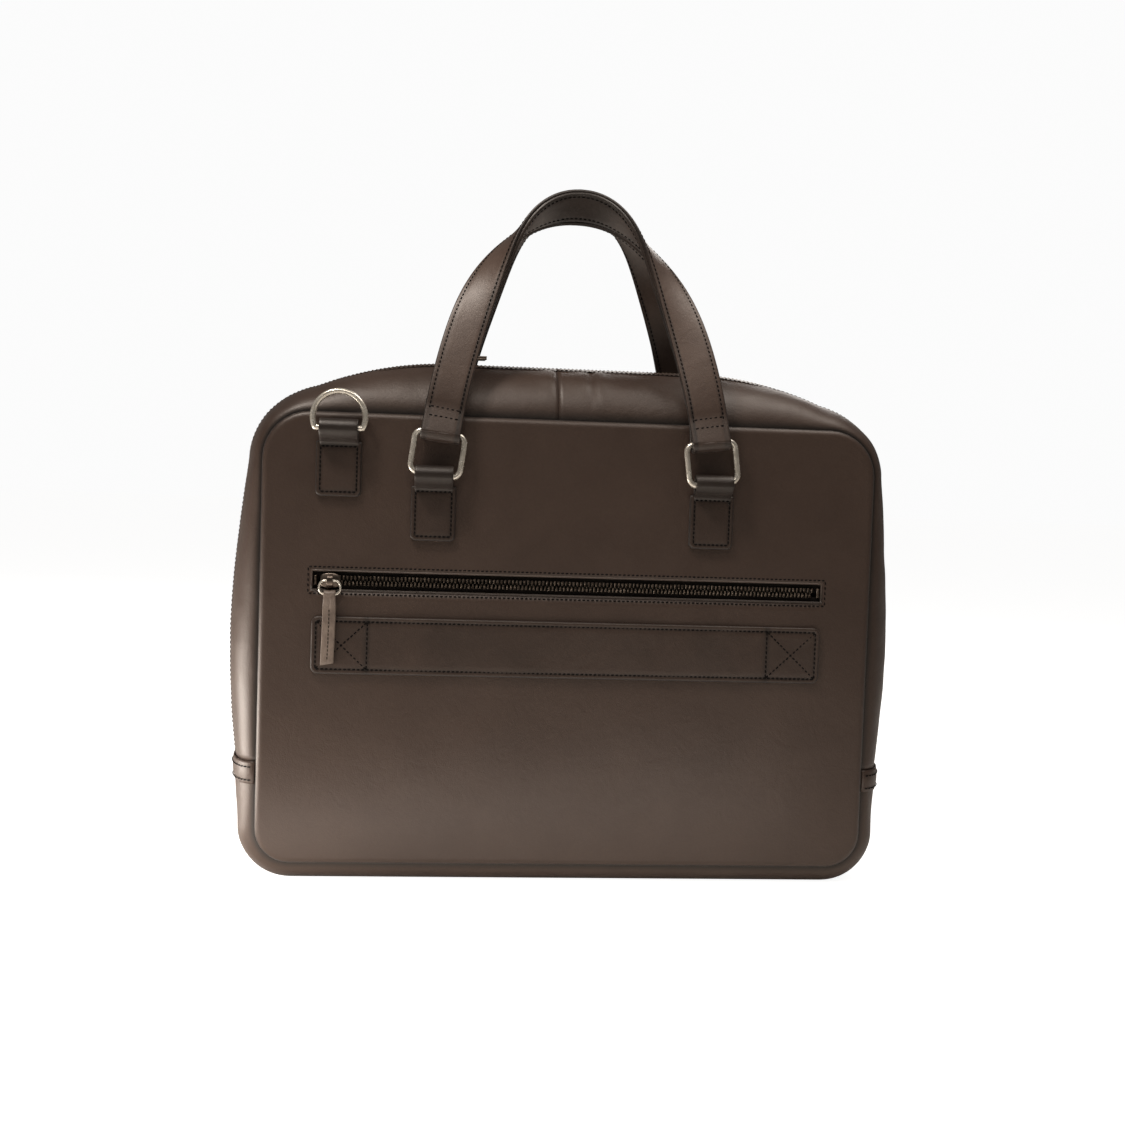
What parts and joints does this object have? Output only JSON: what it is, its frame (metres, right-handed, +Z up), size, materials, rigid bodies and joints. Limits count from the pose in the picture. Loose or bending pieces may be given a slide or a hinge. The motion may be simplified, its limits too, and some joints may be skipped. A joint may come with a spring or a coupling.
{
  "type": "briefcase",
  "caption": "Soft leather briefcase with a zipped top, looped handles on metal rings, a zipped outside pocket and a luggage strap.",
  "frame": {"origin": "on the floor under the middle of the base", "axes": "+Z up, +X to the right of somebody facing the pocket side, -Y the pocket side"},
  "size_m": [0.435, 0.1086, 0.4445],
  "materials": {
    "body_leather": "smooth satin, dark brown",
    "trim_leather": "smooth satin, dark brown, stitched edges",
    "puller_leather": "satin, taupe",
    "lining_fabric": "twill lining",
    "stiffener_foam": "felted foam",
    "base_fibreboard": "matt board",
    "zip_tape": "woven tape",
    "zip_metal": "antique",
    "ring_metal": "polished nickel plate"
  },
  "bodies": {
    "rear_half": {"rear_panel": "body_leather", "rear_stiffener": "stiffener_foam", "pocket_window_rim": "body_leather", "pocket_zip_upper_tape": "zip_tape", "pocket_zip_lower_tape": "zip_tape", "pocket_zip_upper_teeth": "zip_metal", "pocket_zip_lower_teeth": "zip_metal", "pocket_zip_stops": "zip_metal", "pocket_bag": "lining_fabric", "luggage_strap": "trim_leather", "rear_handle_chape_left": "trim_leather", "rear_handle_chape_right": "trim_leather", "rear_d_ring_chape": "trim_leather", "rear_gusset_left": "body_leather", "rear_gusset_right": "body_leather", "bottom_gusset": "body_leather", "zip_end_tab_left": "body_leather", "zip_end_tab_right": "body_leather", "base_board": "base_fibreboard", "bottom_lining": "lining_fabric", "rear_lining": "lining_fabric", "rear_gusset_lining": "lining_fabric", "laptop_divider": "lining_fabric", "main_zip_rear_tape": "zip_tape", "main_zip_rear_teeth": "zip_metal", "front_panel_lower": "body_leather"},
    "front_half": {"front_panel_upper": "body_leather", "front_stiffener": "stiffener_foam", "front_lining": "lining_fabric", "front_gusset_left": "body_leather", "front_gusset_right": "body_leather", "front_gusset_lining": "lining_fabric", "main_zip_front_tape": "zip_tape", "main_zip_front_teeth": "zip_metal", "front_handle_chape_left": "trim_leather", "front_handle_chape_right": "trim_leather", "front_d_ring_chape": "trim_leather"},
    "rear_ring_left": {"rear_handle_ring_left": "ring_metal"},
    "rear_ring_right": {"rear_handle_ring_right": "ring_metal"},
    "rear_handle": {"rear_handle_strap": "trim_leather", "rear_handle_backing": "trim_leather"},
    "rear_strap_ring": {"rear_d_ring": "ring_metal"},
    "front_ring_left": {"front_handle_ring_left": "ring_metal"},
    "front_ring_right": {"front_handle_ring_right": "ring_metal"},
    "front_handle": {"front_handle_strap": "trim_leather", "front_handle_backing": "trim_leather"},
    "front_strap_ring": {"front_d_ring": "ring_metal"},
    "pocket_slider_body": {"pocket_slider": "zip_metal"},
    "pocket_puller_ring": {"pocket_pull_ring": "ring_metal"},
    "pocket_puller": {"pocket_pull_leather": "puller_leather"},
    "main_slider_body": {"main_slider": "zip_metal"},
    "main_puller_ring": {"main_pull_ring": "ring_metal"},
    "main_puller": {"main_pull_leather": "puller_leather"}
  },
  "joints": [
    {"name": "front_opening", "type": "hinge", "parent": "rear_half", "child": "front_half", "pos_m": [0, 0.041, 0.0756], "axis": [-1, 0, 0], "range_deg": [0, 35]},
    {"name": "rear_ring_left_swing", "type": "hinge", "parent": "rear_half", "child": "rear_ring_left", "pos_m": [-0.088, -0.0487, 0.2594], "axis": [1, 0, 0], "range_deg": [0, 120]},
    {"name": "rear_ring_right_swing", "type": "hinge", "parent": "rear_half", "child": "rear_ring_right", "pos_m": [0.088, -0.0487, 0.2594], "axis": [1, 0, 0], "range_deg": [0, 120]},
    {"name": "rear_handle_swing", "type": "hinge", "parent": "rear_ring_left", "child": "rear_handle", "pos_m": [-0.08461, -0.0487, 0.28518], "axis": [1, 0, 0], "range_deg": [0, 40]},
    {"name": "rear_d_ring_swing", "type": "hinge", "parent": "rear_half", "child": "rear_strap_ring", "pos_m": [-0.147, -0.0487, 0.2861], "axis": [1, 0, 0], "range_deg": [0, 150]},
    {"name": "front_ring_left_swing", "type": "hinge", "parent": "front_half", "child": "front_ring_left", "pos_m": [-0.088, 0.0487, 0.2594], "axis": [-1, 0, 0], "range_deg": [0, 120]},
    {"name": "front_ring_right_swing", "type": "hinge", "parent": "front_half", "child": "front_ring_right", "pos_m": [0.088, 0.0487, 0.2594], "axis": [-1, 0, 0], "range_deg": [0, 120]},
    {"name": "front_handle_swing", "type": "hinge", "parent": "front_ring_left", "child": "front_handle", "pos_m": [-0.08461, 0.0487, 0.28518], "axis": [-1, 0, 0], "range_deg": [0, 40]},
    {"name": "front_d_ring_swing", "type": "hinge", "parent": "front_half", "child": "front_strap_ring", "pos_m": [0.147, 0.0487, 0.2861], "axis": [-1, 0, 0], "range_deg": [0, 150]},
    {"name": "pocket_zip_travel", "type": "slide", "parent": "rear_half", "child": "pocket_slider_body", "axis": [1, 0, 0], "range_m": [0, 0.3]},
    {"name": "pocket_pull_ring_swing", "type": "hinge", "parent": "pocket_slider_body", "child": "pocket_puller_ring", "pos_m": [-0.1505, -0.0458, 0.1916], "axis": [-1, 0, 0], "range_deg": [0, 60]},
    {"name": "pocket_puller_swing", "type": "hinge", "parent": "pocket_puller_ring", "child": "pocket_puller", "pos_m": [-0.1505, -0.0458, 0.1831], "axis": [-1, 0, 0], "range_deg": [0, 60]},
    {"name": "main_zip_travel", "type": "slide", "parent": "rear_half", "child": "main_slider_body", "axis": [1, 0, 0], "range_m": [0, 0.15]},
    {"name": "main_pull_ring_swing", "type": "hinge", "parent": "main_slider_body", "child": "main_puller_ring", "pos_m": [-0.081, 0, 0.3371], "axis": [0, -1, 0], "range_deg": [0, 120]},
    {"name": "main_puller_swing", "type": "hinge", "parent": "main_puller_ring", "child": "main_puller", "pos_m": [-0.0725, 0, 0.3371], "axis": [0, -1, 0], "range_deg": [0, 60]}
  ],
  "couplings": [
    {"joint": "rear_ring_right_swing", "follows": "rear_ring_left_swing", "ratio": 1},
    {"joint": "front_ring_right_swing", "follows": "front_ring_left_swing", "ratio": 1}
  ]
}
